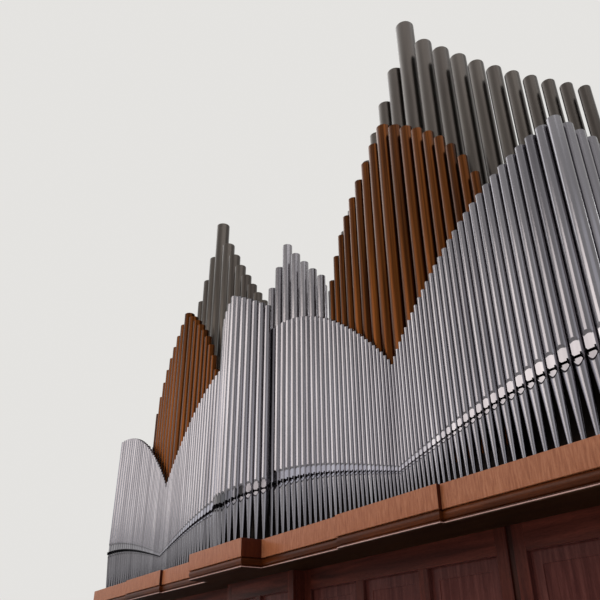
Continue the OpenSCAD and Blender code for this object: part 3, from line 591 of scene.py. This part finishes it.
def wave(x, bend):
    """The façade's wave: the sine of a quarter turn times the share of the way from the low point to the
    end of its side, raised to a bend."""
    share = np.where(x < valley, (valley - x) / (valley - start), (x - valley) / (corner - valley))
    return np.sin(np.pi / 2 * np.clip(share, 0, 1) ** bend)


def flat_rank(side, diameters, places):
    """Front pipes with their backs on one line, tops and mouths on the wave, on one side of the organ."""
    return [(side * x, front_back - d / 2, 0.0, d, mouth_low + mouth_rise * wave(x, mouth_bend),
             top_low + top_rise * wave(x, top_bend)) for d, x in zip(diameters, places)]


inner_steps, outer_steps, end_pipes = 28, 29, 4
inner_d, outer_d = graded(widest, narrowest, inner_steps), graded(narrowest, widest, outer_steps)
inner_x = start + running(inner_d, (valley - start - running(inner_d, 0)[-1]) / inner_steps)
outer_x = valley + running(outer_d, (corner - valley - running(outer_d, 0)[-1]) / outer_steps)
for side, word in ((-1, "left"), (1, "right")):
    rank("inner_front_" + word, flat_rank(side, inner_d, inner_x), toe_top, tin, ["inner_flat_" + word],
         tin_sheet)
    rank("outer_front_" + word, flat_rank(side, outer_d[1:], outer_x[1:]), toe_top, tin,
         ["outer_flat_" + word], tin_sheet)
    end_row = [(side * corner, front_back - widest / 2 + end_pitch * k, side * np.pi / 2, widest,
                mouth_low + mouth_rise, top_low + top_rise) for k in range(1, end_pipes + 1)]
    rank("end_row_" + word, end_row, toe_top, tin, ["side_pipes_" + word], tin_sheet)

# The tower's pipes stand outside an arc, each turned to face away from its centre. They fall and shrink from
# the middle one to the sides, and their lips are darker than the row's, painted shade over their reflection.
tower_steps, tower_gap, tower_least = 6, 0.004, 0.076
arc, arc_centre = 0.955, 0.903
tower_mouth, tower_mouth_rise = 3.062, 0.072
tower_top, tower_top_fall = 5.4, 0.31
tower_d = graded(widest, tower_least, tower_steps)
tower_turn = running(tower_d, tower_gap) / (arc + widest / 2)
tower_rank = []
for k in range(-tower_steps, tower_steps + 1):
    turn, d, share = np.sign(k) * tower_turn[abs(k)], tower_d[abs(k)], abs(k) / tower_steps
    away = arc + d / 2
    tower_rank.append((away * sin(turn), arc_centre - away * cos(turn), turn, d,
                       tower_mouth + tower_mouth_rise * share, tower_top - tower_top_fall * share))
rank("bowed_tower", tower_rank, toe_top, tin, ["tower_pipes"], tin_sheet, lips=(-0.4, -0.5))

# The pipes behind: copper ones in two groups, and rolled zinc ones in two tall groups and a middle one.
# The copper is lacquered and has darkened to brown, with upright lines 17 mm apart, wider than a brush
# leaves, so that they show. Zinc has a dull soft bloom; the tall groups' zinc is also coloured much darker as
# painted shade, and the middle group's lighter copy is painted light.
copper = metal("lacquered_copper", "221007", "573013", "80491d", 0.3, streak=0.05, cloud=(60.0, 60.0, 0.8))
# The tall zinc's dark colour is partly painted shade; the lighter copy below is painted light for the middle
# group.
zinc = metal("rolled_zinc", "3a3532", "4d4844", "635e58", 0.32)
lit_zinc = metal("lit_zinc", "6b686c", "868387", "9a979b", 0.22)


def peak(side, middle, places, diameters, back, mouth, tops, first, last):
    """A group that falls on both sides of its largest pipe, pipe 0, which stands at middle: pipes first
    to last, with their backs on one line and their mouths at one height."""
    return [(side * (middle + np.sign(k) * places[abs(k)]), back - diameters[abs(k)] / 2, 0.0,
             diameters[abs(k)], mouth, tops[abs(k)]) for k in range(first, last + 1)]


# Copper: the tops fall evenly from the middle, and faster at both ends
copper_steps, copper_widest, copper_least, copper_gap = 8, 0.146, 0.078, 0.015
copper_back, copper_mouth, copper_sheet = 0.374, 3.44, 0.0018
copper_peak, copper_fall, copper_bend = 6.33, 0.122, 0.276
copper_chest_top = deck_top + 0.26
copper_d = graded(copper_widest, copper_least, copper_steps)
copper_x = running(copper_d, copper_gap)
steps = np.arange(copper_steps + 1)
copper_top = copper_peak - copper_fall * steps - copper_bend * (steps / copper_steps) ** 4

# Tall zinc: one pipe at the peak stands above the line of the rest. From each pipe to the next one out
# the width and the height over the mouth shrink to a fixed share.
tall_inner, tall_outer, tall_widest, tall_share, tall_gap = 7, 10, 0.206, 0.925, 0.034
tall_back, tall_mouth, tall_sheet = 0.865, 4.2, 0.0022
tall_peak, tall_body, tall_body_share = 8.11, 3.39, 0.905
tall_chest_top = deck_top + 0.36
tall_d = tall_widest * tall_share ** np.arange(tall_outer + 1)
tall_x = running(tall_d, tall_gap)
tall_top = np.r_[tall_peak, tall_mouth + tall_body * tall_body_share ** np.arange(tall_outer)]
for side, word in ((-1, "left"), (1, "right")):
    rank("copper_" + word, peak(side, valley, copper_x, copper_d, copper_back, copper_mouth, copper_top,
                                -copper_steps, copper_steps),
         copper_chest_top, copper, ["copper_pipes_" + word], copper_sheet)
    rank("tall_" + word, peak(side, valley, tall_x, tall_d, tall_back, tall_mouth, tall_top,
                              -tall_inner, tall_outer),
         tall_chest_top, zinc, ["tall_pipes_" + word], tall_sheet, tuned=False)

# The middle group stands in two rows, one before and one behind a rail, with the second one size smaller
centre_steps, centre_widest, centre_share, centre_gap = 4, 0.12, 0.94, 0.072
centre_back, centre_mouth, centre_sheet = 0.659, 4.0, 0.0018
centre_body, centre_body_share = 2.35, 0.9
seat, rail, clear = 0.0003, 0.025, 0.004
centre_d = centre_widest * centre_share ** np.arange(centre_steps + 2)
centre_x = running(centre_d, centre_gap)
centre_top = centre_mouth + centre_body * centre_body_share ** np.arange(centre_steps + 2)
second_back = centre_back + seat + rail + clear + centre_d[1]
centre_pipes = [pipe for row, back in enumerate((centre_back, second_back))
                for pipe in peak(1, 0.0, centre_x, centre_d[row:], back, centre_mouth, centre_top[row:],
                                 -centre_steps, centre_steps)]
rank("centre_pair", centre_pipes, tall_chest_top, lit_zinc, ["centre_pipes"], centre_sheet,
     tuned=False)

# The floor, the world and the lamps: a pale studio. The world is pale to the eye and in reflections, and
# gives the rest of the scene a plain even light. The lamps are large soft boxes.
bpy.ops.mesh.primitive_plane_add(size=80)
floor = bpy.context.object
floor.name = "floor"
plaster, shader = blank("pale_floor", Base_Color=linear("d8d6d2"), Roughness=0.8)
floor.data.materials.append(plaster)

world = bpy.data.worlds.new("studio")
bpy.context.scene.world = world
world.use_nodes = True
path = add(world, "ShaderNodeLightPath")
eye_or_gloss = add(world, "ShaderNodeMath", {0: path.outputs["Is Camera Ray"],
                                             1: path.outputs["Is Glossy Ray"]}, operation="MAXIMUM")
any_view = add(world, "ShaderNodeMath", {0: eye_or_gloss.outputs["Value"],
                                         1: path.outputs["Is Transmission Ray"]}, operation="MAXIMUM")
even_light, pale_wall = (0.37, 0.38, 0.40, 1), (0.78, 0.77, 0.75, 1)
seen = add(world, "ShaderNodeMix", {"Factor": any_view.outputs["Value"], "A": even_light, "B": pale_wall},
           data_type="RGBA")
background = world.node_tree.nodes["Background"]
world.node_tree.links.new(seen.outputs["Result"], background.inputs["Color"])


def lamp(name, place, aim, width, height, power, colour):
    """A soft rectangular lamp at a place, facing the point it is aimed at."""
    data = bpy.data.lights.new(name, "AREA")
    data.shape = "RECTANGLE"
    data.size, data.size_y = width, height
    data.energy = power
    data.color = linear(colour)[:3]
    lamp_object = bpy.data.objects.new(name, data)
    bpy.context.scene.collection.objects.link(lamp_object)
    direction = Vector(aim) - Vector(place)
    lamp_object.rotation_euler = direction.to_track_quat("-Z", "Y").to_euler()
    lamp_object.location = place


lamp("key_box", (-2.8, -11.0, 8.3), (0.0, 0.0, 4.0), 10.5, 6.0, 580.0, "fff6ec")
lamp("left_box", (-13.0, -9.0, 8.0), (0.0, 0.0, 4.0), 9.0, 6.0, 160.0, "eef0ff")
lamp("fill_box", (12.0, -4.0, 5.5), (1.0, 0.0, 4.0), 8.0, 8.0, 110.0, "f2f4ff")
lamp("back_box", (2.0, 9.0, 7.0), (0.0, 0.0, 4.0), 8.0, 5.0, 380.0, "ffffff")
lamp("top_box", (0.0, -1.0, 15.0), (0.0, -1.0, 0.0), 28.0, 12.0, 1500.0, "ffffff")

# The camera: one that stands where the photo's stood, low and to the right, at eye height. It is turned
# along the front and tilted up, by the photo's vanishing points.
eye = Vector((6.076, -3.5565, 1.6))
heading, tilt, roll = radians(57.43), radians(29.20), radians(-0.43)
turned = Matrix.Rotation(heading, 4, "Z") @ Matrix.Rotation(radians(90) + tilt, 4, "X")
view = bpy.data.cameras.new("view")
view.sensor_width = 36.0
view.lens = 40.4
camera = bpy.data.objects.new("view", view)
bpy.context.scene.collection.objects.link(camera)
camera.matrix_world = Matrix.Translation(eye) @ turned @ Matrix.Rotation(roll, 4, "Z")
bpy.context.scene.camera = camera
bpy.context.scene.view_settings.view_transform = "Standard"
